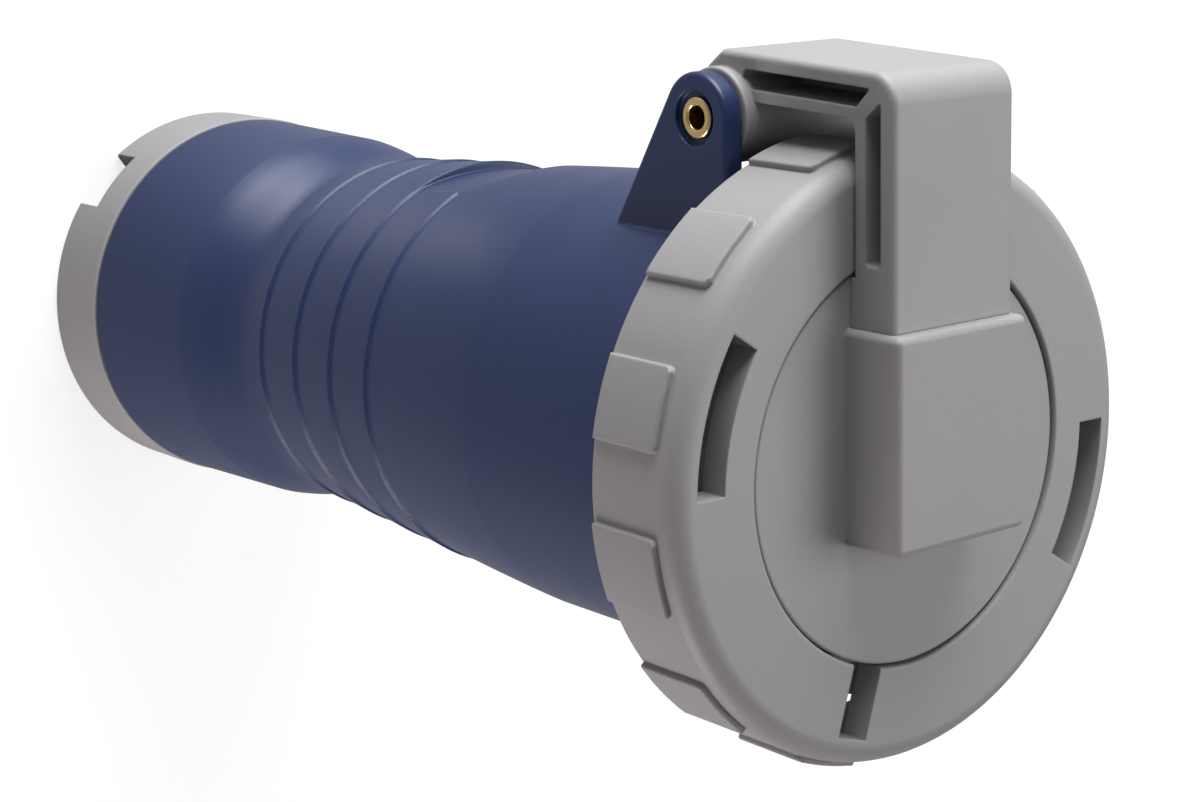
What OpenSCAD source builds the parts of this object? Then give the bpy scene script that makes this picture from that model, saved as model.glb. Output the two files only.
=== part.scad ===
// Pin and sleeve cable socket, 63 A size, three pole and pilot, with a bayonet lid.
// The part stands on the rim of its gland nut: Z runs up the axis to the lid and the hinge is on +Y.

/* [Overall] */
// Height of the lid ring's face above the rim of the gland nut
face_z = 240; // [225:1:280]
// Running gap between pieces that turn on each other
run_gap = 0.3; // [0.3:0.05:0.6]
// Wall of the moulded body
wall = 3; // [2.4:0.1:4]

/* [Gland nut] */
// Distance of the nut's outside inside the front barrel's
nut_in = 1.6; // [0:0.1:3]
// Length of the nut
nut_len = 19; // [18:0.5:26]
// Depth of the recess inside the rim
nut_recess = 9; // [5:0.5:10]
// Thickness of the rim
nut_rim = 4.1; // [3:0.1:5]
// Thickness of the end wall
nut_end = 4; // [2.5:0.1:5]
// Radius of the hole for the cable
nut_hole_r = 21; // [17:0.5:26]
// Arc of each notch in the rim, degrees
nut_notch_arc = 20; // [10:1:40]
// Direction of the first notch, degrees
nut_notch_dir = 135.2; // [0:0.1:180]
// Edge round of the rim
nut_round = 1.4; // [0.5:0.1:1.9]

/* [Gland] */
// Distance of the rubber bush inside the nut's outside
bush_in = 8.9; // [7.9:0.1:12]
// Bore of the rubber bush
bush_bore_r = 15; // [10:0.1:18]
// Length of the rubber bush
bush_len = 15.5; // [11:0.5:18]
// Thickness of the thrust washer
washer_t = 1.2; // [0.8:0.1:2]
// Hole of the thrust washer
washer_hole_r = 20; // [16:0.5:26]
// Wall of the threaded neck
neck_wall = 3; // [2:0.1:4]
// Opening of the lip that stops the bush
lip_r = 28; // [20:0.5:30]
// Thickness of that lip
lip_t = 3; // [2:0.1:5]

/* [Handle] */
// Step from the nut down to the rear barrel
nut_step = 0.3; // [0:0.1:1]
// Taper of the rear barrel over its length
barrel_taper = 0.9; // [0:0.1:2]
// Height of the end of the rear barrel
barrel_z = 55; // [45:1:60]
// Depth of the waist below the end of the rear barrel
waist_in = 3.95; // [2.7:0.05:7]
// Height of the waist
waist_z = 76; // [68:0.5:80]
// Height of the first rib
rib_z = 85; // [82:0.5:90]
// Pitch of the ribs
rib_pitch = 14.6; // [10:0.1:16]
// Number of ribs
rib_n = 4; // [2:1:4]
// Height of the first rib's crest over the waist
rib_rise = 1.7; // [1.45:0.05:2.7]
// Growth of the crest radius from rib to rib
rib_grow = 1.03; // [0.5:0.01:1.3]
// Drop in front of each rib
rib_drop = 0.5; // [0.2:0.05:0.9]
// Radius of the front barrel
front_r = 44.5; // [44.2:0.1:47]
// Height at which the front barrel starts
front_z = 165; // [155:1:172]
// Depth of the scallop on top, below the rib crest behind it
scallop_depth = 1.75; // [0.6:0.05:2.4]
// Cross radius of the scallop's floor
scallop_r = 62; // [55:1:120]
// Length of the scallop's even floor
scallop_len = 14; // [8:0.5:18]
// Arc of the scallop, degrees
scallop_arc = 50; // [36:1:56]

/* [Collar] */
// Step from the front barrel down to the collar
collar_step = 1.1; // [0.6:0.1:2]
// Width of the ring gap for the plug's sleeve
sleeve_gap = 5.3; // [4.6:0.1:5.8]
// Wall of the collar inside the lid ring
collar_wall = 2.9; // [2.2:0.1:3.1]
// Depth of the ring gap below the collar's rim
sleeve_depth = 57; // [45:1:60]
// Length of the ledge under the retainer plate
ledge_len = 14; // [8:0.5:16]
// Width of the keyway in the collar
key_w = 9; // [5:0.5:12]
// Depth of the keyway
key_depth = 1.6; // [0.8:0.1:1.7]
// Gap between the ramps and the inside of the ring's skirt
ramp_gap = 2.3; // [1:0.1:3]
// Arc of a bayonet ramp, degrees
ramp_arc = 40; // [24:1:42]
// Slope of the ramps' clamping faces, degrees
ramp_slope = 2.6; // [1:0.1:3.5]
// Arc of the stop at the end of each ramp, degrees
stop_arc = 3; // [2:0.5:5]
// Free turn between a lug and its ramp, degrees
ramp_lead = 8.75; // [7:0.25:12]

/* [Contacts] */
// Distance of the contact circle inside the carrier's outside
contact_in = 16.7; // [15.2:0.1:19]
// Bore radius of the line and neutral sleeves
line_bore = 4.05; // [3:0.05:4.6]
// Bore radius of the earth sleeve
earth_bore = 5.05; // [4:0.05:5.6]
// Bore radius of the pilot sleeve
pilot_bore = 3.05; // [2.4:0.05:3.4]
// Wall of the sleeves
sleeve_wall = 2.1; // [1.6:0.1:2.6]
// Depth of the sleeves' bores
bore_depth = 44; // [36:1:48]
// Distance of the carrier's face below the collar's rim
carrier_drop = 2.3; // [1:0.1:6]
// Thickness of the carrier's face
carrier_face = 4; // [3:0.1:6]
// Ease of the holes in the carrier's face round the pins
hole_ease = 0.6; // [0.3:0.05:0.9]
// Thickness of the retainer plate
retainer_t = 5; // [3:0.1:7]
// Length of the terminals behind the retainer
terminal_len = 12; // [10:0.5:14]
// Radius of the terminal screws
terminal_screw_r = 2.2; // [1.5:0.1:2.4]
// Width of the spring rings
spring_w = 3; // [1.5:0.1:5]
// Thickness of the spring rings
spring_t = 0.8; // [0.4:0.1:1.1]

/* [Lid ring] */
// Reach of the ring past the front barrel
ring_over = 11.8; // [11.3:0.1:12.5]
// Length of the ring
ring_len = 22; // [20:0.5:23]
// Wall of the ring's skirt
ring_wall = 4; // [3:0.1:4.2]
// Thickness of the ring's face
ring_face_t = 5.7; // [4.5:0.1:6.5]
// Round of the ring's front edge
ring_round = 4.2; // [2:0.1:4.4]
// Radius of the opening in the ring's face
seam_r = 38.2; // [36:0.1:39]
// Number of grip pads
pad_n = 12; // [8:1:16]
// Arc of one grip pad, degrees
pad_arc = 15; // [8:0.1:18]
// Turn of the pads from the windows, degrees
pad_turn = 0.5; // [-5:0.1:5]
// Height of the grip pads
pad_h = 1.2; // [0.6:0.1:1.6]
// Distance of the pads from the ring's face
pad_front = 5; // [4:0.1:8]
// Distance of the pads from the ring's rear end
pad_rear = 1; // [0.9:0.1:3]
// Gap between the collar and the middle of the lugs' inner faces
lug_gap = 1.1; // [0.8:0.1:2]
// Edge between the windows and the inside of the skirt
window_edge = 1; // [0.5:0.1:2]
// Arc of the windows and lugs, degrees
lug_arc = 32.5; // [26:0.5:36]
// Thickness of the lugs
lug_t = 4; // [3:0.1:4.4]
// Width of the notch in the ring's face
notch_w = 7; // [4:0.5:9]
// Turn of the ring at rest, degrees
ring_turn = -17.4; // [-25:0.1:0]

/* [Lid] */
// Gap between the disc and the ring round it
seam_gap = 0.5; // [0.3:0.05:0.7]
// Distance of the disc's face below the ring's face
disc_drop = 0.7; // [0.2:0.1:1.5]
// Reach of the back plate past the collar
plate_over = 1; // [0.2:0.1:1.1]
// Thickness of the back plate
plate_t = 3.4; // [2.8:0.1:4]
// Thickness of the gasket
gasket_t = 2.15; // [1.6:0.05:2.6]
// Gap between the gasket and the collar's rim with the lid shut but not locked
gasket_gap = 0.15; // [0.1:0.05:0.4]
// Width of the block on the disc
block_w = 32.6; // [26:0.1:35]
// Lower end of the block below the axis
block_low = 13.3; // [8:0.1:18]
// Upper end of the block above the axis
block_high = 25.6; // [20:0.1:28]
// Height of the block above the ring's face
block_front = 12.3; // [10:0.1:16]
// Wall of the hollow block
block_wall = 3; // [2:0.1:4]
// Edge round of the block
block_round = 1.4; // [0.8:0.1:2.4]
// Width of the lid arm
arm_w = 30; // [22:0.1:32]
// Distance of the arm's front below the block's front
arm_step = 2.4; // [0.6:0.1:3.5]
// Height of the arm's back over the hinge axis
arm_top = 11.9; // [10.4:0.1:13]
// Fall of the arm's back from the hinge to the front
arm_fall = 1.8; // [0:0.1:3]
// Outer wall of the arm
arm_outer = 2.9; // [2:0.1:3.4]
// Width of the arm's side pockets
arm_pocket = 3.6; // [2:0.1:4]
// Inner wall of the arm
arm_inner = 2.1; // [1.6:0.1:2.6]
// Middle web between the side pockets
arm_web = 3; // [2:0.1:6]
// Round of the arm's outer corner
arm_round = 5.6; // [3:0.1:8]
// Lower end of the arm's front pocket above the axis
pocket_low = 36.8; // [34:0.1:44]
// Radius of the knuckle round the hinge pin
knuckle_r = 8.9; // [7:0.1:9.2]

/* [Hinge] */
// Height of the hinge axis above the ring's grip pads
pin_lift = 2.7; // [2.5:0.1:6]
// Distance of the knuckle behind the ring's rear edge
knuckle_gap = 2.3; // [1.1:0.1:6]
// Outer radius of the hinge pin
pin_r = 3; // [2.4:0.1:3.4]
// Bore of the hinge pin
pin_bore = 2.15; // [1.5:0.05:2.3]
// Radius of the pin's rolled ends
pin_head_r = 3.85; // [3.5:0.05:4.6]
// Outer width over the ears
ear_w = 44; // [42:0.5:48]
// Thickness of the ears
ear_t = 4.4; // [3.4:0.1:5]
// Radius of the ears' tips
ear_r = 8.3; // [7:0.1:9]
// Reach of the ears' feet behind the hinge axis
ear_reach = 23.3; // [16:0.1:28]
// Radius of the sinking round the pin's ends
sink_r = 5.2; // [4.8:0.1:6]
// Depth of that sinking
sink_depth = 1.2; // [0.6:0.1:1.6]

/* [Screws] */
// Shank radius of the carrier and lid screws
screw_r = 1.4; // [1:0.1:1.6]
// Head radius of these screws
screw_head_r = 2.2; // [1.8:0.1:2.5]
// Head height of these screws
screw_head = 1.6; // [1:0.1:2]
// Distance of the lid screws from the axis
lid_screw_circle = 31; // [27:0.5:34]

/* [Hidden] */
$fn = 96;

blue = [0.11, 0.20, 0.42];
grey = [0.57, 0.57, 0.58];
dark = [0.10, 0.10, 0.11];
rubber = [0.05, 0.05, 0.05];
brass = [0.80, 0.63, 0.30];
steel = [0.72, 0.73, 0.75];

// Small ends that a cut runs past the face it opens
over = 1;

// Heights of the lid's stack, from the ring's face down to the collar's rim
ring_z0 = face_z - ring_len;
flange_z = face_z - ring_face_t;
plate_z1 = flange_z - run_gap;
plate_z0 = plate_z1 - plate_t;
gasket_z0 = plate_z0 - gasket_t;
rim_z = gasket_z0 - gasket_gap;
disc_z = face_z - disc_drop;

// Radii round the collar
collar_r = front_r - collar_step;
collar_bore = collar_r - collar_wall;
carrier_r = collar_bore - sleeve_gap;
contact_circle = carrier_r - contact_in;
collar_step_z = ring_z0 - 4;
plate_r = collar_r + plate_over;
disc_r = seam_r - seam_gap;

// Radii in the room between the collar and the ring's skirt
ring_r = front_r + ring_over;
skirt_in = ring_r - ring_wall;
lug_r = collar_r + lug_gap + 0.6;
ramp_r = skirt_in - ramp_gap;
window_r = skirt_in - window_edge;

// Bayonet: lugs at the ring's rear edge, ramps in front of them
lug_z0 = ring_z0 + 0.5;
lug_z1 = lug_z0 + lug_t;
ramp_z0 = lug_z1 + 2 * run_gap;
ramp_z1 = rim_z - 0.3;
lug_dir = 180 + ring_turn;
ramp_dir = lug_dir - lug_arc / 2 - ramp_lead - ramp_arc / 2;

// Gland stack, from the rim of the nut up
nut_wall_z = nut_recess + nut_end;
washer_z = nut_wall_z + run_gap;
bush_z = washer_z + washer_t;
bush_z1 = bush_z + bush_len;
nut_r = front_r - nut_in;
bush_r = nut_r - bush_in;
neck_r = bush_r + neck_wall;
rear_r = nut_r - nut_step;
barrel_r = rear_r - barrel_taper;
waist_r = barrel_r - waist_in;
rib_r = waist_r + rib_rise;
neck_z = nut_wall_z + 0.5;
lip_z1 = bush_z1 + lip_t;

// Carrier stack, from the collar's rim down
carrier_z1 = rim_z - carrier_drop;
carrier_z0 = rim_z - sleeve_depth;
seat_z = carrier_z0 - retainer_t;
ledge_z0 = seat_z - ledge_len;
carrier_screw_circle = carrier_r + sleeve_gap / 2;
ledge_r = carrier_screw_circle - screw_r - 0.85;
sleeve_z1 = carrier_z1 - carrier_face;
terminal_z0 = seat_z - terminal_len;

// Hinge and arm
pin_y = ring_r + pad_h + pin_lift;
pin_z = ring_z0 - knuckle_gap - knuckle_r;
ear_in = ear_w / 2 - ear_t;
knuckle_w = 2 * (ear_in - run_gap);
ear_foot_y = sqrt(pow(collar_bore + 1.4, 2) - pow(ear_in, 2));
block_z = face_z + block_front;
arm_z = block_z - arm_step;
arm_in_z = face_z + 2 * run_gap;
arm_back = [pin_y + arm_top, pin_z - 0.6];
arm_corner = [pin_y + arm_top - arm_fall, arm_z];
arm_depth = arm_outer + arm_pocket + arm_inner;
tenon_len = 8;
tenon_w = arm_w - 4 * block_wall;

// Contacts: direction, distance from the axis, bore and outer radius
line_at = [30, contact_circle, line_bore];
neutral_at = [150, contact_circle, line_bore];
earth_at = [270, contact_circle, earth_bore];
pilot_at = [90, 0, pilot_bore];
contacts = [line_at, neutral_at, earth_at, pilot_at];

function mix(a, b, t) = a + (b - a) * t;

// Points of an arc that rounds the corner b between a and c
function corner(a, b, c, r, n = 5) =
    let (u = (a - b) / norm(a - b), v = (c - b) / norm(c - b),
        half = acos(max(-1, min(1, u * v))) / 2,
        m = b + (u + v) / norm(u + v) * r / sin(half),
        p = b + u * r / tan(half), q = b + v * r / tan(half),
        a0 = atan2(p[1] - m[1], p[0] - m[0]),
        a1 = atan2(q[1] - m[1], q[0] - m[0]),
        d = a1 - a0 > 180 ? a1 - a0 - 360 : a1 - a0 < -180 ? a1 - a0 + 360 : a1 - a0)
    [for (i = [0:n]) m + r * [cos(a0 + d * i / n), sin(a0 + d * i / n)]];

// Closed outline with each corner rounded by its own radius, or left sharp at 0
function rounded(p, r, n = 5) =
    [for (i = [0:len(p) - 1])
        let (k = len(p))
        each (r[i] > 0 ? corner(p[(i + k - 1) % k], p[i], p[(i + 1) % k], r[i], n) : [p[i]])];

// Point where a line from p touches the circle round c
function touch(p, c, r, side) =
    let (a = acos(r / norm(p - c)), b = atan2(p[1] - c[1], p[0] - c[0]))
    c + r * [cos(b + side * a), sin(b + side * a)];

// Line parallel to a-b, moved to its left by d
function beside(a, b, d) =
    let (u = (b - a) / norm(b - a)) [a + d * [-u[1], u[0]], b + d * [-u[1], u[0]]];

// Point on the line through a and b at a given second coordinate
function at_z(l, z) = mix(l[0], l[1], (z - l[0][1]) / (l[1][1] - l[0][1]));

// Outer outline of the handle, from the nut to the front barrel
swoop = [for (i = [0:8])
    let (t = i / 8)
    [mix(barrel_r, waist_r, pow((1 - cos(180 * t)) / 2, 1.25)), mix(barrel_z, waist_z, t)]];
function rib_at(i) = [rib_r + rib_grow * i, rib_z + rib_pitch * i];
ribs = [for (i = [0:rib_n - 1])
    let (c = rib_at(i))
    each [c, c + [-0.6 * rib_drop, 0.35], c + [-0.95 * rib_drop, 1.3], c + [-rib_drop, 3]]];
flare_from = rib_at(rib_n - 1) + [-rib_drop, 3];
flare = [for (i = [1:6])
    let (t = i / 6)
    [mix(flare_from[0], front_r, 1 - pow(1 - t, 1.6)), mix(flare_from[1], front_z, t)]];

// Profile drawn in Y and Z, made w wide along X
module across(w) {
    rotate([90, 0, 90])
        linear_extrude(w, center = true)
            children();
}

// Part of a ring between two directions
module sector(r0, r1, z0, z1, from, arc) {
    rotate([0, 0, from])
        rotate_extrude(angle = arc)
            translate([r0, z0])
                square([r1 - r0, z1 - z0]);
}

module tube(r1, r0, z0, z1) {
    difference() {
        translate([0, 0, z0])
            cylinder(r = r1, h = z1 - z0);
        translate([0, 0, z0 - over])
            cylinder(r = r0, h = z1 - z0 + 2 * over);
    }
}

module at_contact(c) {
    rotate([0, 0, c[0]])
        translate([c[1], 0, 0])
            children();
}

// Ear at one side, on the front barrel
module ear(side) {
    foot = [ear_foot_y, pin_z - ear_reach];
    tip = [pin_y, pin_z];
    translate([side * (ear_w - ear_t) / 2, 0, 0])
        across(ear_t) {
            translate(tip)
                circle(r = ear_r);
            polygon([foot, touch(foot, tip, ear_r, 1), tip, tip + [0, ear_r],
                [ear_foot_y, pin_z + ear_r]]);
        }
}

// Shallow scallop on top, from the third rib forwards
module scallop() {
    c = rib_at(rib_n - 2);
    floor_y = c[0] - scallop_depth;
    z0 = c[1] + 0.2;
    intersection() {
        translate([0, floor_y, z0])
            rotate([-3.2, 0, 0])
                scallop_block();
        translate([0, floor_y + scallop_len * tan(3.2), z0 + scallop_len])
            rotate([-13, 0, 0])
                translate([0, 0, -2 * scallop_len])
                    scallop_block();
        translate([0, 0, z0])
            linear_extrude(4 * scallop_len)
                polygon([[0, 0], [-tan(scallop_arc / 2), 1] * 2 * front_r,
                    [tan(scallop_arc / 2), 1] * 2 * front_r]);
    }
}

module scallop_block() {
    translate([0, 0, -scallop_len])
        linear_extrude(6 * scallop_len)
            difference() {
                translate([-front_r, -20])
                    square([2 * front_r, 40]);
                translate([0, -scallop_r])
                    circle(r = scallop_r, $fn = 180);
            }
}

module handle_shell() {
    color(blue)
    difference() {
        rotate_extrude()
            polygon(concat(
                [[bush_r, neck_z], [neck_r, neck_z], [neck_r, nut_len + run_gap],
                    [rear_r - 0.6, nut_len + run_gap], [rear_r, nut_len + run_gap + 0.6]],
                swoop, ribs, flare,
                [[front_r, seat_z], [ledge_r, seat_z], [ledge_r, ledge_z0],
                    [min(front_r - wall, flare_from[0] - wall + 0.6), ledge_z0 - 3],
                    [flare_from[0] - wall, flare_from[1]], [rib_r - rib_drop - wall, rib_z],
                    [waist_r - wall, waist_z], [barrel_r - wall, barrel_z],
                    [rear_r - wall, lip_z1 + 4], [lip_r, lip_z1], [lip_r, bush_z1], [bush_r, bush_z1]]));
        scallop();
        for (a = [0, 180])
            rotate([0, 0, a])
                translate([carrier_screw_circle, 0, ledge_z0 + 1])
                    cylinder(r = screw_r, h = ledge_len);
    }
}

// Front barrel and collar, flush with the handle at the carrier's seat
module front_housing() {
    color(blue)
    difference() {
        rotate_extrude()
            polygon([[collar_bore, seat_z], [front_r, seat_z], [front_r, collar_step_z - 2],
                [collar_r, collar_step_z], [collar_r, rim_z - 0.5], [collar_r - 0.5, rim_z],
                [collar_bore + 0.4, rim_z], [collar_bore, rim_z - 0.4]]);
        translate([-key_w / 2, -collar_bore - key_depth, carrier_z0])
            cube([key_w, key_depth + 2, sleeve_depth + over]);
    }
}

// Ears on the front barrel, with the bore for the hinge pin
module hinge_ears() {
    color(blue)
    difference() {
        union() {
            ear(-1);
            ear(1);
        }
        rotate_extrude()
            polygon([[0, seat_z], [front_r, seat_z], [front_r, collar_step_z - 2],
                [collar_r, collar_step_z], [collar_r, rim_z], [0, rim_z]]);
        translate([0, pin_y, pin_z])
            rotate([0, 90, 0]) {
                cylinder(r = pin_r, h = ear_w + 2 * over, center = true);
                for (s = [-1, 1])
                    translate([0, 0, s * (ear_w / 2 + over - sink_depth / 2 - over / 2)])
                        cylinder(r = sink_r, h = sink_depth + over, center = true);
            }
    }
}

// Ramps on the collar that draw the lugs in, each with a sloped rear face and a stop at its far end
module bayonet_ramps() {
    low = ramp_r * sin(ramp_arc / 2) * tan(ramp_slope);
    color(blue)
    for (a = [0, 180])
        rotate([0, 0, ramp_dir + a]) {
            difference() {
                sector(collar_r, ramp_r, ramp_z0, ramp_z1, -ramp_arc / 2, ramp_arc);
                translate([0, 0, ramp_z0 + low])
                    rotate([ramp_slope, 0, 0])
                        translate([0, -ramp_r, -ring_len])
                            cube([2 * ramp_r, 2 * ramp_r, ring_len]);
            }
            sector(collar_r + 0.3, ramp_r - 0.5, lug_z0, ramp_z1 - 0.5, -ramp_arc / 2 - stop_arc, stop_arc + 2);
        }
}

module gland_nut() {
    color(grey)
    difference() {
        rotate_extrude()
            polygon(rounded(
                [[nut_r, 0], [nut_r, nut_len], [neck_r + run_gap, nut_len], [neck_r + run_gap, nut_wall_z],
                    [nut_hole_r, nut_wall_z], [nut_hole_r, nut_recess], [nut_r - nut_rim, nut_recess],
                    [nut_r - nut_rim, 0]],
                [nut_round, 0.4, 0, 0, 0, 0, 0, 0.8]));
        for (a = [0, 180])
            rotate([0, 0, nut_notch_dir + a - nut_notch_arc / 2])
                rotate_extrude(angle = nut_notch_arc)
                    translate([nut_r - nut_rim - over, -over])
                        square([nut_rim + 2 * over, nut_recess + over]);
    }
}

module thrust_washer() {
    color(steel)
    tube(bush_r, washer_hole_r, washer_z, bush_z);
}

module gland_bush() {
    color(rubber)
    rotate_extrude()
        polygon([[bush_bore_r, bush_z], [bush_r, bush_z], [bush_r, bush_z1], [bush_bore_r + 2.5, bush_z1],
            [bush_bore_r, bush_z1 - 2.5]]);
}

module contact_carrier() {
    color(dark)
    difference() {
        rotate_extrude()
            polygon([[0, carrier_z0], [carrier_r, carrier_z0], [carrier_r, carrier_z1 - 1],
                [carrier_r - 1, carrier_z1], [0, carrier_z1]]);
        for (c = contacts)
            at_contact(c) {
                translate([0, 0, carrier_z0 - over])
                    cylinder(r = c[2] + sleeve_wall, h = sleeve_z1 - carrier_z0 + over);
                translate([0, 0, carrier_z0])
                    cylinder(r = c[2] + hole_ease, h = carrier_z1 - carrier_z0 + over);
            }
    }
}

module carrier_retainer() {
    color(dark)
    difference() {
        translate([0, 0, seat_z])
            cylinder(r = collar_bore - 0.1, h = retainer_t);
        for (c = contacts)
            at_contact(c)
                translate([0, 0, seat_z - over])
                    cylinder(r = c[2] + sleeve_wall, h = retainer_t + 2 * over);
        for (a = [0, 180])
            rotate([0, 0, a])
                translate([carrier_screw_circle, 0, seat_z - over])
                    cylinder(r = screw_r, h = retainer_t + 2 * over);
    }
}

module carrier_screws() {
    color(steel)
    for (a = [0, 180])
        rotate([0, 0, a])
            translate([carrier_screw_circle, 0, 0]) {
                translate([0, 0, ledge_z0 + 1])
                    cylinder(r = screw_r, h = carrier_z0 - ledge_z0 - 1);
                difference() {
                    translate([0, 0, carrier_z0])
                        cylinder(r = screw_head_r, h = screw_head);
                    translate([-0.4, -screw_head_r, carrier_z0 + screw_head - 0.8])
                        cube([0.8, 2 * screw_head_r, 1]);
                }
            }
}

// Contact sleeve: bored from the front, with a wire hole and a clamp screw hole behind
module sleeve(c) {
    r = c[2] + sleeve_wall;
    at_contact(c)
    difference() {
        translate([0, 0, terminal_z0])
            cylinder(r = r, h = sleeve_z1 - terminal_z0);
        translate([0, 0, sleeve_z1 - bore_depth])
            cylinder(r = c[2], h = bore_depth + over);
        translate([0, 0, terminal_z0 - over])
            cylinder(r = c[2], h = terminal_len + over);
        translate([0, 0, terminal_z0 + terminal_len / 2])
            rotate([0, 90, 0])
                cylinder(r = terminal_screw_r, h = 2 * r);
        translate([0, 0, sleeve_z1 - 4 * spring_w])
            tube(r + over, r - spring_t, 0, spring_w);
    }
}

module sleeve_line() {
    color(brass)
    sleeve(line_at);
}

module sleeve_neutral() {
    color(brass)
    sleeve(neutral_at);
}

module sleeve_earth() {
    color(brass)
    sleeve(earth_at);
}

module sleeve_pilot() {
    color(brass)
    sleeve(pilot_at);
}

module sleeve_springs() {
    color(steel)
    for (c = contacts)
        at_contact(c)
            translate([0, 0, sleeve_z1 - 4 * spring_w])
                tube(c[2] + sleeve_wall, c[2] + sleeve_wall - spring_t, 0, spring_w);
}

module terminal_screws() {
    color(steel)
    for (c = contacts)
        at_contact(c)
            translate([0, 0, terminal_z0 + terminal_len / 2])
                rotate([0, 90, 0])
                    difference() {
                        translate([0, 0, c[2] - 1.2])
                            cylinder(r = terminal_screw_r, h = sleeve_wall + 2.4);
                        translate([-0.4, -terminal_screw_r, c[2] + sleeve_wall + 0.4])
                            cube([0.8, 2 * terminal_screw_r, 2]);
                    }
}

module hinge_pin() {
    head = 0.9;
    half = ear_w / 2 - sink_depth + head;
    color(brass)
    translate([0, pin_y, pin_z])
        rotate([0, 90, 0])
            rotate_extrude()
                polygon(concat(
                    [[pin_bore + 0.4, -half], [pin_head_r - 0.4, -half], [pin_head_r, 0.45 - half],
                        [pin_head_r, head - half], [pin_r, head - half], [pin_r, half - head],
                        [pin_head_r, half - head], [pin_head_r, half - 0.45], [pin_head_r - 0.4, half],
                        [pin_bore + 0.4, half], [pin_bore, half - 0.4], [pin_bore, 0.4 - half]]));
}

// Rounded block on the disc: three prisms that share the block's box
module block_form(inset, z0, z1, round) {
    w = block_w / 2 - inset;
    y0 = inset - block_low;
    y1 = block_high - inset;
    intersection() {
        translate([0, 0, z0])
            linear_extrude(z1 - z0)
                polygon(rounded([[-w, y0], [w, y0], [w, y1], [-w, y1]], [round, round, round, round]));
        across(2 * w)
            polygon(rounded([[y0, z0], [y1, z0], [y1, z1], [y0, z1]], [0, 0, round, round]));
        translate([0, (y0 + y1) / 2, 0])
            rotate([90, 0, 0])
                linear_extrude(y1 - y0, center = true)
                    polygon(rounded([[-w, z0], [w, z0], [w, z1], [-w, z1]], [0, 0, round, round]));
    }
}

module lid_screw_places() {
    for (a = [45:90:315])
        rotate([0, 0, a])
            translate([lid_screw_circle, 0, 0])
                children();
}

module lid_disc() {
    color(grey)
    difference() {
        union() {
            translate([0, 0, plate_z1])
                cylinder(r = disc_r, h = disc_z - plate_z1);
            block_form(0, plate_z1, block_z, block_round);
        }
        block_form(block_wall, plate_z1 - over, block_z - block_wall, 0.6);
        translate([-tenon_w / 2 - 0.1, block_high - tenon_len, disc_z + block_wall - 0.1])
            cube([tenon_w + 0.2, tenon_len + over, arm_z - disc_z - 2 * block_wall + 0.2]);
        lid_screw_places()
            translate([0, 0, plate_z1 - over])
                cylinder(r = screw_r, h = disc_z - plate_z1 - 1 + over);
    }
}

// Outlines of the arm, in Y and Z, with its foot inside the disc's edge
arm_foot = sqrt(pow(disc_r - 0.1, 2) - pow(arm_w / 2, 2));
arm_top_line = [arm_back, arm_corner];
arm_pocket_top = beside(arm_back, arm_corner, arm_outer);
arm_pocket_bottom = beside(arm_back, arm_corner, arm_outer + arm_pocket);
arm_under = beside(arm_back, arm_corner, arm_depth);
pocket_front_z = arm_z - arm_outer - 0.3;
pocket_back_z = pocket_front_z - arm_pocket;
pocket_rear_z = pin_z + knuckle_r - 3.2;

module lid_arm() {
    tip = [pin_y, pin_z];
    color(grey)
    difference() {
        union() {
            across(arm_w) {
                polygon(concat(
                    [tip, touch(arm_back, tip, knuckle_r, -1), arm_back],
                    corner(arm_back, arm_corner, [block_high, arm_z], arm_round, 6),
                    [[block_high, arm_z], [block_high, disc_z], [arm_foot, disc_z], [arm_foot, arm_in_z]],
                    corner([arm_foot, arm_in_z], at_z(arm_under, arm_in_z), at_z(arm_under, pin_z), 2.4, 4),
                    [at_z(arm_under, pin_z + 1)]));
            }
            translate([0, pin_y, pin_z])
                rotate([0, 90, 0])
                    cylinder(r = knuckle_r, h = knuckle_w, center = true);
            translate([-tenon_w / 2, block_high - tenon_len, disc_z + block_wall])
                cube([tenon_w, tenon_len + over, arm_z - disc_z - 2 * block_wall]);
        }
        for (s = [-1, 1])
            translate([s * (arm_w + arm_web) / 4 + s * over / 2, 0, 0])
                across((arm_w - arm_web) / 2 + over) {
                    polygon(rounded(
                        [at_z(arm_pocket_top, pocket_rear_z), at_z(arm_pocket_top, pocket_front_z - 2.4),
                            at_z(arm_pocket_bottom, pocket_back_z - 2.4),
                            at_z(arm_pocket_bottom, pocket_rear_z - 1)],
                        [0.8, 0.4, 0.4, 0.8], 3));
                    polygon(rounded(
                        [at_z(arm_pocket_bottom, pocket_back_z) - [1.6, 0],
                            at_z(arm_pocket_top, pocket_front_z) - [2, 0],
                            [pocket_low, pocket_front_z], [pocket_low, pocket_back_z]],
                        [0.4, 0.4, 0.8, 0.8], 3));
                }
        translate([0, pin_y, pin_z])
            rotate([0, 90, 0])
                cylinder(r = pin_r + run_gap, h = ear_w, center = true);
    }
}

module lid_backplate() {
    color(grey)
    difference() {
        translate([0, 0, plate_z0])
            cylinder(r = plate_r, h = plate_t);
        lid_screw_places() {
            translate([0, 0, plate_z0 - over])
                cylinder(r = screw_r, h = plate_t + 2 * over);
            translate([0, 0, plate_z0 - over])
                cylinder(r = screw_head_r, h = screw_head + over);
        }
    }
}

module lid_screws() {
    color(steel)
    lid_screw_places() {
        translate([0, 0, plate_z0])
            cylinder(r = screw_r, h = plate_t + disc_z - plate_z1 - 1);
        difference() {
            translate([0, 0, plate_z0])
                cylinder(r = screw_head_r, h = screw_head);
            translate([-0.4, -screw_head_r, plate_z0 - 0.2])
                cube([0.8, 2 * screw_head_r, 1]);
        }
    }
}

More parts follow.
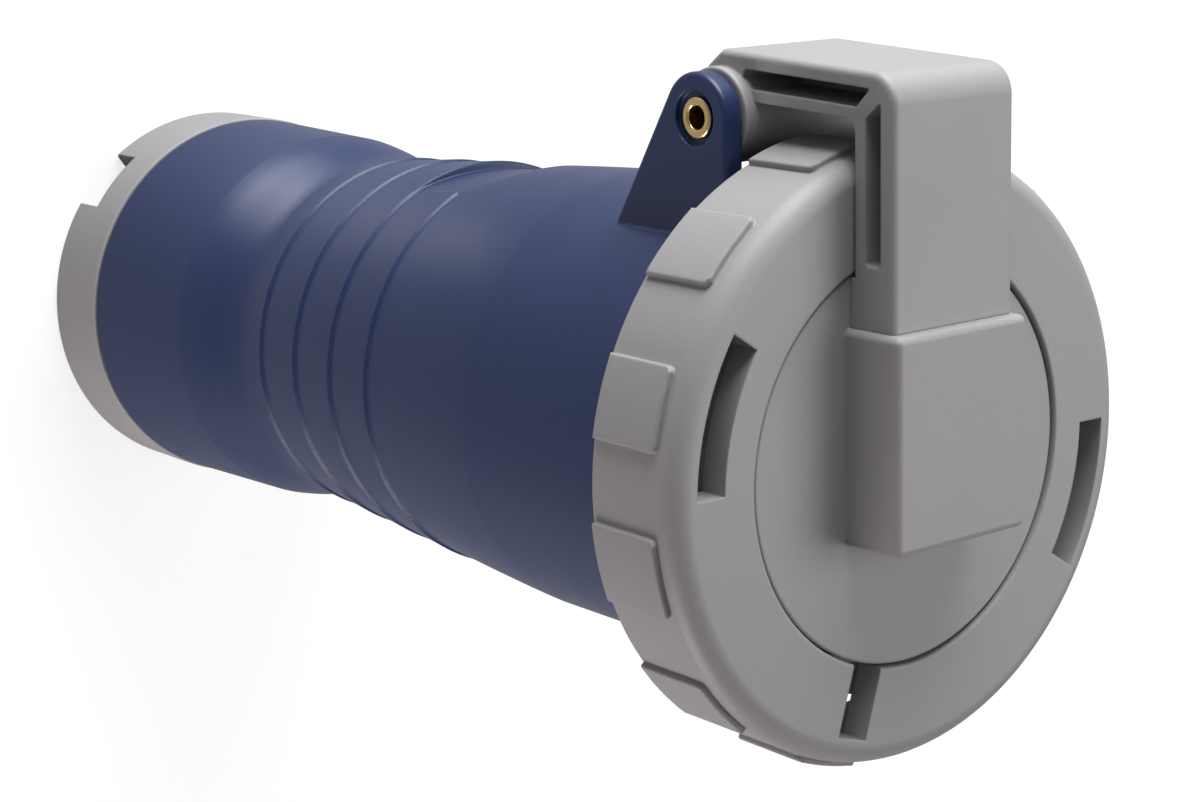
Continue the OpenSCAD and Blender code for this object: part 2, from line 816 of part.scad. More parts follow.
module lid_gasket() {
    color(rubber)
    tube(plate_r - 0.2, collar_bore - 0.7, gasket_z0, plate_z0);
}

// Section of the ring: a skirt and a face with a rounded front edge
module ring_section() {
    polygon(rounded(
        [[ring_r, ring_z0], [ring_r, face_z], [seam_r, face_z], [seam_r, flange_z],
            [skirt_in, flange_z], [skirt_in, ring_z0]],
        [0.8, ring_round, 0.5, 0, 0, 0.4], 6));
}

// Skirt of the ring with its grip pads
module lid_ring() {
    color(grey)
    rotate([0, 0, ring_turn]) {
        rotate_extrude()
            intersection() {
                ring_section();
                translate([skirt_in, ring_z0 - over])
                    square([ring_wall + over, ring_len + 2 * over]);
            }
        for (i = [0:pad_n - 1])
            rotate([0, 0, 180 + pad_turn + i * 360 / pad_n - pad_arc / 2])
                rotate_extrude(angle = pad_arc)
                    polygon(rounded(
                        [[ring_r - ring_wall / 2, ring_z0 + pad_rear],
                            [ring_r + pad_h, ring_z0 + pad_rear],
                            [ring_r + pad_h, face_z - pad_front],
                            [ring_r - ring_wall / 2, face_z - pad_front]],
                        [0, 0.5, 0.9, 0], 3));
    }
}

// Face of the ring inside the skirt, with its windows and notch
module ring_face() {
    color(grey)
    rotate([0, 0, ring_turn])
    difference() {
        rotate_extrude()
            intersection() {
                ring_section();
                translate([seam_r - over, flange_z - over])
                    square([skirt_in - seam_r + over, ring_face_t + 2 * over]);
            }
        for (a = [0, 180])
            sector(lug_r, window_r, flange_z - over, face_z + over, a - lug_arc / 2, lug_arc);
        translate([-notch_w / 2, -window_r, flange_z - over])
            cube([notch_w, window_r - seam_r + over, ring_face_t + 2 * over]);
    }
}

// Lugs inside the skirt, flat towards the collar
module ring_lugs() {
    color(grey)
    rotate([0, 0, ring_turn])
    for (a = [0, 180])
        rotate([0, 0, a])
            difference() {
                sector(lug_r - 1.2, skirt_in, lug_z0, lug_z1, -lug_arc / 2, lug_arc);
                translate([0, -ring_r, lug_z0 - over])
                    cube([lug_r - 0.6, 2 * ring_r, lug_t + 2 * over]);
            }
}

handle_shell();
front_housing();
hinge_ears();
bayonet_ramps();
gland_nut();
thrust_washer();
gland_bush();
contact_carrier();
carrier_retainer();
carrier_screws();
sleeve_line();
sleeve_neutral();
sleeve_earth();
sleeve_pilot();
sleeve_springs();
terminal_screws();
hinge_pin();
lid_disc();
lid_arm();
lid_backplate();
lid_screws();
lid_gasket();
lid_ring();
ring_face();
ring_lugs();
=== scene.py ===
"""Scene of a pin and sleeve cable socket with a shut bayonet lid.

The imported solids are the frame. The mouldings that show are modelled again here from the same
sizes with rounded edges, and every piece gets a procedural finish of its own. Sizes of the part
are in millimetres, those of the stage in metres, and angles in degrees.
"""

from __future__ import annotations

import logging
import math
from dataclasses import dataclass
from enum import Enum
from typing import Callable, Iterable, Sequence

import bmesh
import bpy
from mathutils import Matrix, Vector

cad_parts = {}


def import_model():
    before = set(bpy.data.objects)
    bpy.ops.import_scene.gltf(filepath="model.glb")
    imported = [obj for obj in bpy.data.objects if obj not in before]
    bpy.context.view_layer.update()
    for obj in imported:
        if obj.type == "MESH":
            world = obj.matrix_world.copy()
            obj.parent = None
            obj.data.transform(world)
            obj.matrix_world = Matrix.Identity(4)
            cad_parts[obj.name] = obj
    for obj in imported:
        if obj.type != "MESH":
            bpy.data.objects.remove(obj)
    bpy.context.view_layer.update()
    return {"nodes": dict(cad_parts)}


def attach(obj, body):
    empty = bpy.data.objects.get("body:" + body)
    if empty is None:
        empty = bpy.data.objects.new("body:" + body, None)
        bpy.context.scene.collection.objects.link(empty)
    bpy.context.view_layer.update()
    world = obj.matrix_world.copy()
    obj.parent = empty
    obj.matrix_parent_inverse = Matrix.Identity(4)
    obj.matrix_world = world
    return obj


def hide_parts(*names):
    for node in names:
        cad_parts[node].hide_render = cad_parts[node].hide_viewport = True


Point = tuple[float, float]
Triple = tuple[float, float, float]
Outline = Sequence[Point]
Out = bpy.types.NodeSocket
Vert = bmesh.types.BMVert
Edge = bmesh.types.BMEdge
Face = bmesh.types.BMFace
Object = bpy.types.Object
Material = bpy.types.Material

LOG = logging.getLogger("cable_socket")
MM = 0.001
WHITE: Triple = (1.0, 1.0, 1.0)
WARM: Triple = (1.0, 0.94, 0.93)

# Turning, and how far a cutting shape overshoots
WHOLE_TURN = 360.0
OPPOSITE = (0.0, 180.0)
TURN_STEPS = 288
ARC_STEPS = 6
CUT_OVER = 2.0

# Angles between faces from which an edge is rounded
CORNER = 60.0
BLUNT_CORNER = 40.0

# Gaps that are welded, and how close counts as the same place
SPIN_GAP = 1e-4
WELD_GAP = 0.002
LEVEL = 0.001
NEAR = 0.01

# The hinge's axis, across and along the part
HINGE: Point = (60.2, 206.8)

# Ranges of the finishes' patterns
CLOUD_RANGE: Point = (0.2, 0.8)
FINE_RANGE: Point = (0.3, 0.7)
SPECK_RANGE: Point = (0.34, 0.6)
PATCH_RANGE: Point = (0.35, 1.0)
EDGE_RANGE: Point = (0.995, 0.86)
FULL_RANGE: Point = (0.0, 1.0)
STAIN_FULL = 0.75
EDGE_SAMPLES = 6
PLASTIC_IOR = 1.49


class Body(str, Enum):
    """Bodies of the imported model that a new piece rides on."""

    HOUSING = "housing"
    GLAND = "gland"
    LID = "lid"
    RING = "ring"


class Slot(str, Enum):
    """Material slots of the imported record."""

    BLUE = "blue_plastic"
    GREY = "grey_plastic"
    BLACK = "black_plastic"
    RUBBER = "rubber"
    BRASS = "brass"
    STEEL = "steel"


class Plane(Enum):
    """Plane in which an outline is drawn before it is made thick."""

    YZ = "yz"
    XY = "xy"


class Layers(Enum):
    """Number and weight of a noise pattern's finer layers."""

    SMOOTH = (2.0, 0.5)
    SPECKLED = (3.0, 0.6)
    BLOTCHED = (4.0, 0.65)


# Shader nodes


class NodeBench:
    """Places and links the shader nodes of one material."""

    def __init__(self, name: str) -> None:
        """Start an empty node tree.

        Args:
            name: Name of the new material.
        """
        self.material = bpy.data.materials.new(name)
        self.material.use_nodes = True
        self.tree = self.material.node_tree
        self.tree.nodes.clear()
        self.out = self.add("ShaderNodeOutputMaterial")
        self.coords = self.add("ShaderNodeTexCoord").outputs["Object"]

    def feed(self, target: Out, value: float | Triple | Out) -> None:
        """Give an input a number, a colour or a link.

        Args:
            target: The input.
            value: The number, the colour, or the output to link.
        """
        if isinstance(value, float):
            target.default_value = value
        elif isinstance(value, tuple):
            target.default_value = (*value, 1.0)
        else:
            self.tree.links.new(value, target)

    def add(
        self, kind: str, feeds: dict[str | int, float | Triple | Out] | None = None, **settings: object
    ) -> bpy.types.Node:
        """Add a node.

        Args:
            kind: Blender's name of the node type.
            feeds: What its inputs get, by name or number.
            **settings: Properties of the node.

        Returns:
            The new node.
        """
        node = self.tree.nodes.new(kind)
        for key, value in settings.items():
            setattr(node, key, value)
        for key, value in (feeds or {}).items():
            self.feed(node.inputs[key], value)
        return node

    def noise(self, size_mm: float, layers: Layers = Layers.SMOOTH) -> Out:
        """Add a noise pattern on Object coordinates, with blotches of the given size."""
        feeds = {"Scale": 1.0 / (size_mm * MM), "Detail": layers.value[0], "Roughness": layers.value[1]}
        return self.add("ShaderNodeTexNoise", {"Vector": self.coords, **feeds}).outputs["Fac"]

    def spread(self, value: Out, source: Point, target: Point) -> Out:
        """Map a value from one range to another and hold it there."""
        ends = {"From Min": source[0], "From Max": source[1], "To Min": target[0], "To Max": target[1]}
        return self.add("ShaderNodeMapRange", {"Value": value, **ends}, clamp=True).outputs["Result"]

    def combine(self, operation: str, *values: float | Out) -> Out:
        """Work out a value from others by one of Blender's math operations."""
        node = self.add("ShaderNodeMath", dict(enumerate(values)), operation=operation)
        return node.outputs["Value"]

    def blend(self, share: Out, first: Triple | Out, second: Triple) -> Out:
        """Mix two colours by a pattern, which is the share of the second one."""
        node = self.add("ShaderNodeMix", {"Factor": share, "A": first, "B": second}, data_type="RGBA")
        return node.outputs["Result"]

    def bump(self, height: Out, depth_mm: float, under: Out | None = None) -> Out:
        """Turn a pattern of heights into a normal.

        Args:
            height: The pattern.
            depth_mm: Its depth.
            under: Normal that it lies on, if that isn't the mesh's own.

        Returns:
            The normal's output.
        """
        node = self.add("ShaderNodeBump", {"Distance": depth_mm * MM, "Height": height})
        if under is not None:
            self.feed(node.inputs["Normal"], under)
        return node.outputs["Normal"]

    def edges(self, radius_mm: float) -> tuple[Out, Out]:
        """Find the edges of the piece.

        Args:
            radius_mm: How far from an edge the mark reaches.

        Returns:
            A normal that rounds the edges, and a mark that is 1 on an edge and 0 away from it.
        """
        soft = self.add("ShaderNodeBevel", {"Radius": radius_mm * MM}, samples=EDGE_SAMPLES).outputs["Normal"]
        facing = self.add("ShaderNodeNewGeometry").outputs["Normal"]
        dot = self.add("ShaderNodeVectorMath", {0: soft, 1: facing}, operation="DOT_PRODUCT")
        return soft, self.spread(dot.outputs["Value"], EDGE_RANGE, FULL_RANGE)

    def surface(self, colour: Out, dullness: Out, normal: Out, levels: dict[str, float]) -> Material:
        """Lead the patterns to the surface's shader.

        Args:
            colour: Output of the colour.
            dullness: Output of the roughness.
            normal: Output of the normal.
            levels: Inputs of the shader that are the same all over.

        Returns:
            The finished material.
        """
        feeds = {"Base Color": colour, "Roughness": dullness, "Normal": normal, **levels}
        shader = self.add("ShaderNodeBsdfPrincipled", feeds)
        self.feed(self.out.inputs["Surface"], shader.outputs["BSDF"])
        return self.material


# Finishes


@dataclass(frozen=True)
class MouldedFinish:
    """Moulded plastic with the fine grain of its tool, soft mottling, and paler edges that are partly edge
    wear and partly a painted highlight.
    """

    name: str
    colour: Triple
    pale: Triple
    # Paler colour along the edges: partly edge wear, partly a painted highlight on every edge
    edge_wear_and_highlight_colour: Triple
    roughness: float
    grain_mm: float
    grain_depth_mm: float
    rub: float
    edge_mm: float = 0.5
    mottle: float = 0.35
    cloud_mm: float = 21.0
    speck_mm: float = 2.6
    wave_mm: float = 9.0
    wave_depth_mm: float = 0.012
    swing: Point = (-0.05, 0.06)

    def make(self) -> Material:
        """Build the material.

        Returns:
            The new material.
        """
        bench = NodeBench(self.name)
        cloud = bench.noise(self.cloud_mm)
        soft, mark = bench.edges(self.edge_mm)
        patchy = bench.spread(bench.noise(self.speck_mm, Layers.SPECKLED), SPECK_RANGE, PATCH_RANGE)
        # Patchy paler edges, partly edge wear and partly a painted highlight along the edges
        edge_wear_and_highlight_mask = bench.spread(bench.combine("MULTIPLY", mark, patchy), FULL_RANGE, (0.0, self.rub))
        mixed = bench.blend(bench.spread(cloud, CLOUD_RANGE, (0.0, self.mottle)), self.colour, self.pale)
        colour = bench.blend(edge_wear_and_highlight_mask, mixed, self.edge_wear_and_highlight_colour)
        low, high = self.swing
        dull = bench.spread(cloud, CLOUD_RANGE, (self.roughness + low, self.roughness + high))
        waves = bench.bump(bench.noise(self.wave_mm), self.wave_depth_mm, soft)
        normal = bench.bump(bench.noise(self.grain_mm), self.grain_depth_mm, waves)
        return bench.surface(colour, dull, normal, {"IOR": PLASTIC_IOR})


@dataclass(frozen=True)
class StainedFinish:
    """Metal with fine marks and tarnish, or rubber with a dusty bloom."""

    name: str
    colour: Triple
    stained: Triple
    roughness: float
    metallic: float = 1.0
    stain: float = 0.5
    onset: float = 0.42
    cloud_mm: float = 3.2
    fine_mm: float = 0.25
    fine_depth_mm: float = 0.004
    swing: Point = (-0.06, 0.1)

    def make(self) -> Material:
        """Build the material.

        Returns:
            The new material.
        """
        bench = NodeBench(self.name)
        cloud = bench.noise(self.cloud_mm, Layers.BLOTCHED)
        fine = bench.noise(self.fine_mm, Layers.SPECKLED)
        share = bench.spread(cloud, (self.onset, STAIN_FULL), (0.0, self.stain))
        colour = bench.blend(share, self.colour, self.stained)
        low, high = self.swing
        dull = bench.spread(fine, FINE_RANGE, (self.roughness + low, self.roughness + high))
        normal = bench.bump(fine, self.fine_depth_mm)
        return bench.surface(colour, dull, normal, {"Metallic": self.metallic})


# Each moulding's edge colour is partly edge wear and partly a painted highlight on its edges
FINISHES: dict[Slot, MouldedFinish | StainedFinish] = {
    Slot.BLUE: MouldedFinish(
        "satin_blue_moulding",
        colour=(0.0135, 0.0275, 0.094),
        pale=(0.0155, 0.0315, 0.105),
        edge_wear_and_highlight_colour=(0.05, 0.095, 0.21),
        roughness=0.335,
        grain_mm=0.8,
        grain_depth_mm=0.002,
        rub=0.45,
        edge_mm=0.6,
    ),
    Slot.GREY: MouldedFinish(
        "matte_grey_moulding",
        colour=(0.315, 0.310, 0.318),
        pale=(0.345, 0.340, 0.347),
        edge_wear_and_highlight_colour=(0.46, 0.45, 0.46),
        roughness=0.52,
        grain_mm=0.5,
        grain_depth_mm=0.03,
        rub=0.3,
        edge_mm=0.55,
    ),
    Slot.BLACK: MouldedFinish(
        "dull_black_moulding",
        colour=(0.018, 0.018, 0.020),
        pale=(0.028, 0.028, 0.030),
        edge_wear_and_highlight_colour=(0.07, 0.07, 0.072),
        roughness=0.48,
        grain_mm=0.45,
        grain_depth_mm=0.014,
        rub=0.4,
    ),
    Slot.RUBBER: StainedFinish(
        "gland_rubber",
        (0.012, 0.012, 0.012),
        (0.030, 0.029, 0.028),
        roughness=0.72,
        metallic=0.0,
        stain=0.6,
        onset=0.4,
        cloud_mm=5.0,
        fine_mm=0.4,
        fine_depth_mm=0.02,
        swing=(-0.08, 0.08),
    ),
    Slot.BRASS: StainedFinish("turned_brass", (0.86, 0.64, 0.30), (0.52, 0.32, 0.12), roughness=0.24),
    Slot.STEEL: StainedFinish("zinc_plated_steel", (0.66, 0.66, 0.67), (0.46, 0.46, 0.44), roughness=0.3),
}


# Outlines


def touch_point(start: Point, centre: Point, radius: float, side: int) -> Point:
    """Find where a line from a point touches a circle.

    Args:
        start: Point that the line leaves.
        centre: Centre of the circle.
        radius: Radius of the circle.
        side: 1 or -1, for one of the two lines.

    Returns:
        The touching point.
    """
    across, up = start[0] - centre[0], start[1] - centre[1]
    lean = math.acos(radius / math.hypot(across, up))
    turn = math.atan2(up, across) + side * lean
    return centre[0] + radius * math.cos(turn), centre[1] + radius * math.sin(turn)


def beside(first: Point, second: Point, gap: float) -> tuple[Point, Point]:
    """Move a line to its left.

    Args:
        first: Start of the line.
        second: End of the line.
        gap: Distance of the move.

    Returns:
        Start and end of the moved line.
    """
    along, up = second[0] - first[0], second[1] - first[1]
    size = math.hypot(along, up)
    left = (-up / size * gap, along / size * gap)
    return (first[0] + left[0], first[1] + left[1]), (second[0] + left[0], second[1] + left[1])


def at_height(line: tuple[Point, Point], height: float) -> Point:
    """Return the point of a line at a given second coordinate."""
    share = (height - line[0][1]) / (line[1][1] - line[0][1])
    return line[0][0] + (line[1][0] - line[0][0]) * share, height


def arc_points(
    centre: Point, radius: float, first: float, last: float, steps: int = ARC_STEPS
) -> list[Point]:
    """List the points of an arc from one direction to another."""
    turns = [math.radians(first + (last - first) * step / steps) for step in range(steps + 1)]
    return [(centre[0] + radius * math.cos(t), centre[1] + radius * math.sin(t)) for t in turns]


def oblong(low: Point, high: Point) -> list[Point]:
    """List the corners of an oblong between its lowest and its highest corner."""
    return [low, (high[0], low[1]), high, (low[0], high[1])]


# Shapes


def put(name: str, data: bpy.types.ID) -> Object:
    """Put a new object in the scene.

    Args:
        name: Name of the object.
        data: Its mesh, light or camera.

    Returns:
        The new object.
    """
    thing = bpy.data.objects.new(name, data)
    bpy.context.scene.collection.objects.link(thing)
    return thing


def reach(vert: Vert) -> float:
    """Return how far a vertex lies from the Z axis."""
    return math.hypot(vert.co.x, vert.co.y)


class Shape:
    """A mesh in the making, in millimetres until it is handed over."""

    def __init__(self) -> None:
        """Start with nothing."""
        self.bm = bmesh.new()

    def bevel(self, geom: Sequence[Vert | Edge], offset: float, segments: int, corners: bool) -> None:
        """Round corners or edges.

        Args:
            geom: The corners or edges.
            offset: How far the rounding reaches.
            segments: Segments over each rounding.
            corners: Whether they are corners.
        """
        bmesh.ops.bevel(
            self.bm,
            geom=geom,
            offset=offset,
            offset_type="OFFSET",
            segments=segments,
            profile=0.5,
            affect="VERTICES" if corners else "EDGES",
            clamp_overlap=False,
            material=-1,
        )

    def turn(
        self, profile: Outline, steps: int = TURN_STEPS, middle: float = 180.0, arc: float = WHOLE_TURN
    ) -> Shape:
        """Spin a closed profile of radius and height about the Z axis, in an empty shape.

        Args:
            profile: Corners of the profile, in order.
            steps: Number of steps over the arc.
            middle: Direction of the arc's middle.
            arc: Angle of the spin.

        Returns:
            This shape.
        """
        whole = arc >= WHOLE_TURN
        rim = [self.bm.verts.new((r, 0.0, z)) for r, z in profile]
        rows = [self.bm.edges.new(pair) for pair in zip(rim, [*rim[1:], rim[0]])]
        geom: list[Vert | Edge | Face] = [*rim, *rows]
        if not whole:
            geom.append(self.bm.faces.new(rim))
        self.rotated(middle - arc / 2)
        angle = math.radians(arc)
        bmesh.ops.spin(self.bm, geom=geom, axis=(0, 0, 1), angle=angle, steps=steps, use_merge=whole)
        self.weld(SPIN_GAP)
        return self

    def slab(
        self,
        outline: Outline,
        plane: Plane,
        low: float,
        high: float,
        rounds: Sequence[float] = (),
        segments: int = 6,
    ) -> Shape:
        """Draw an outline, round its corners and make it thick.

        Args:
            outline: Corners of the outline, in order.
            plane: Plane of the outline.
            low: Where the slab starts, across that plane.
            high: Where it ends.
            rounds: Radius at each corner, 0 for a sharp one, or nothing where all are sharp.
            segments: Segments of each rounded corner.

        Returns:
            This shape.
        """
        flat = Shape()
        corners = [flat.bm.verts.new((a, b, 0.0)) for a, b in outline]
        flat.bm.faces.new(corners)
        for corner, radius in zip(corners, rounds):
            if radius <= 0.0:
                continue
            arms = [edge.other_vert(corner).co - corner.co for edge in corner.link_edges]
            half = arms[0].angle(arms[1]) / 2
            flat.bevel([corner], radius / math.tan(half), segments, corners=True)
        grown = bmesh.ops.extrude_face_region(flat.bm, geom=list(flat.bm.faces))
        lifted = [item for item in grown["geom"] if isinstance(item, Vert)]
        bmesh.ops.translate(flat.bm, verts=lifted, vec=(0, 0, high - low))
        bmesh.ops.translate(flat.bm, verts=flat.bm.verts, vec=(0, 0, low))
        if plane is Plane.YZ:
            for vert in flat.bm.verts:
                vert.co = vert.co.zxy
        bmesh.ops.recalc_face_normals(flat.bm, faces=flat.bm.faces)
        return self.join(flat)

    def rod(self, radius: float, centre: Vector, length: float, segments: int = 72) -> Shape:
        """Add a closed cylinder along the X axis.

        Args:
            radius: Its radius.
            centre: Its middle.
            length: Its length.
            segments: Sides of the cylinder.

        Returns:
            This shape.
        """
        size = {"radius1": radius, "radius2": radius, "depth": length}
        place = Matrix.Translation(centre) @ Matrix.Rotation(math.radians(90), 4, "Y")
        bmesh.ops.create_cone(self.bm, cap_ends=True, segments=segments, matrix=place, **size)
        return self

    def join(self, other: Shape) -> Shape:
        """Add another shape as it is, which is used up.

        Args:
            other: The other shape.

        Returns:
            This shape.
        """
        held = bpy.data.meshes.new("held")
        other.bm.to_mesh(held)
        other.bm.free()
        self.bm.from_mesh(held)
        bpy.data.meshes.remove(held)
        return self

    def round_edges(
        self, radius: float, segments: int, angle: float, which: Callable[[Edge], bool] = lambda edge: True
    ) -> None:
        """Round the edges that are sharper than an angle.

        Args:
            radius: Width of the rounding.
            segments: Segments over each edge.
            angle: Smallest angle between the two faces.
            which: Test that picks among those edges.
        """
        limit = math.radians(angle)
        sharp = [edge for edge in self.bm.edges if edge.is_manifold and edge.calc_face_angle() > limit]
        self.bevel([edge for edge in sharp if which(edge)], radius, segments, corners=False)

    def drop(self, which: Callable[[Face], bool]) -> Shape:
        """Take the faces away that pass a test, and return this shape."""
        bmesh.ops.delete(self.bm, geom=[face for face in self.bm.faces if which(face)], context="FACES")
        return self

    def weld(self, gap: float) -> None:
        """Weld vertices that lie closer than a gap, and let the faces look outwards."""
        bmesh.ops.remove_doubles(self.bm, verts=self.bm.verts, dist=gap)
        bmesh.ops.recalc_face_normals(self.bm, faces=self.bm.faces)

    def rotated(self, degrees: float) -> Shape:
        """Turn the shape about the Z axis and return it."""
        bmesh.ops.rotate(self.bm, verts=self.bm.verts, matrix=Matrix.Rotation(math.radians(degrees), 3, "Z"))
        return self

    def cut(self, tools: Iterable[Shape]) -> Shape:
        """Cut other shapes out of this one.

        Args:
            tools: Shapes to cut away, which are used up.

        Returns:
            This shape.
        """
        work = self.stand("cut_work")
        stands = [work]
        for number, tool in enumerate(tools):
            stand = tool.stand(f"cut_tool_{number}")
            stands.append(stand)
            step = work.modifiers.new("cut", "BOOLEAN")
            step.operation = "DIFFERENCE"
            step.solver = "EXACT"
            step.object = stand
        graph = bpy.context.evaluated_depsgraph_get()
        result = bpy.data.meshes.new_from_object(work.evaluated_get(graph))
        self.bm = bmesh.new()
        self.bm.from_mesh(result)
        bpy.data.meshes.remove(result)
        for stand in stands:
            bpy.data.meshes.remove(stand.data)
        return self

    def stand(self, name: str) -> Object:
        """Hand the mesh over to a new object.

        Args:
            name: Name of the object.

        Returns:
            The new object.
        """
        mesh = bpy.data.meshes.new(name)
        self.bm.to_mesh(mesh)
        self.bm.free()
        return put(name, mesh)

    def finish(self, name: str, sharp: float = 32.0) -> Object:
        """Hand the mesh over to a new object, in metres and with smooth faces.

        Args:
            name: Name of the object.
            sharp: Angle above which an edge stays sharp.

        Returns:
            The new object.
        """
        bmesh.ops.scale(self.bm, verts=self.bm.verts, vec=(MM, MM, MM))
        for face in self.bm.faces:
            face.smooth = True
        for edge in self.bm.edges:
            edge.smooth = not (edge.is_manifold and edge.calc_face_angle(0.0) > math.radians(sharp))
        piece = self.stand(name)
        even = piece.modifiers.new("even_normals", "WEIGHTED_NORMAL")
        even.keep_sharp = True
        return piece


# Dressing


@dataclass
class Dresser:
    """Gives pieces their finish and their place in the frame."""

    nodes: dict[str, Object]
    shelf: dict[Slot, Material]

    def mount(self, piece: Object, body: Body, slot: Slot, replaces: Sequence[str]) -> None:
        """Put a new piece on its body in its finish.

        Args:
            piece: The piece.
            body: Body that it rides on.
            slot: Material slot of its finish.
            replaces: Nodes that it stands for.
        """
        piece.data.materials.clear()
        piece.data.materials.append(self.shelf[slot])
        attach(piece, body.value)
        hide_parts(*replaces)
        LOG.info("%s: %d faces on %s", piece.name, len(piece.data.polygons), body.value)

    def dress_node(self, name: str, slot: Slot) -> None:
        """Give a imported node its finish.

        Args:
            name: Name of the node.
            slot: Material slot of its finish.
        """
        node = self.nodes[name]
        for place in node.material_slots:
            place.material = self.shelf[slot]
        if not node.material_slots:
            node.data.materials.append(self.shelf[slot])
        LOG.info("%s: packed node in %s", name, slot.value)


# Sub-assemblies


@dataclass
class SubAssembly:
    """Part of the socket, with the dresser that mounts its pieces."""

    dresser: Dresser


@dataclass
class GlandNut(SubAssembly):
    """Castellated nut at the rear."""

    radius: float = 42.9
    length: float = 19.0
    recess: float = 9.0
    rim: float = 4.1
    end_wall: float = 4.0
    hole: float = 21.0
    hole_edges: Point = (0.6, 0.4)
    thread: float = 37.3
    edge: float = 1.4
    front_edge: float = 0.5
    lip: float = 0.8
    notch_columns: int = 8
    notch_dir: float = 135.2

    def profile(self) -> list[Point]:
        """Draw the nut's section.

        Returns:
            Its corners, in order.
        """
        inner = self.radius - self.rim
        wall_z = self.recess + self.end_wall
        rear, front = self.hole_edges
        front_centre = (self.radius - self.front_edge, self.length - self.front_edge)
        return [
            *arc_points((self.radius - self.edge, self.edge), self.edge, -90.0, 0.0),
            (self.radius, self.recess),
            *arc_points(front_centre, self.front_edge, 0.0, 90.0),
            (self.thread, self.length),
            (self.thread, wall_z),
            (self.hole + front, wall_z),
            (self.hole, wall_z - front),
            (self.hole, self.recess + rear),
            (self.hole + rear, self.recess),
            (inner, self.recess),
            *arc_points((inner + self.lip, self.lip), self.lip, 180.0, 270.0),
        ]

    def build(self) -> None:
        """Turn the nut, cut its notches and mount it."""
        steps = 2 * self.notch_columns
        arc = steps * WHOLE_TURN / TURN_STEPS
        inner, outer = self.radius - self.rim - CUT_OVER, self.radius + CUT_OVER
        section = oblong((inner, -CUT_OVER), (outer, self.recess))
        tools = [Shape().turn(section, steps, turn, arc) for turn in OPPOSITE]
        piece = Shape().turn(self.profile()).cut(tools).rotated(self.notch_dir).finish("gland_nut_moulding")
        self.dresser.mount(piece, Body.GLAND, Slot.GREY, ["gland_nut"])


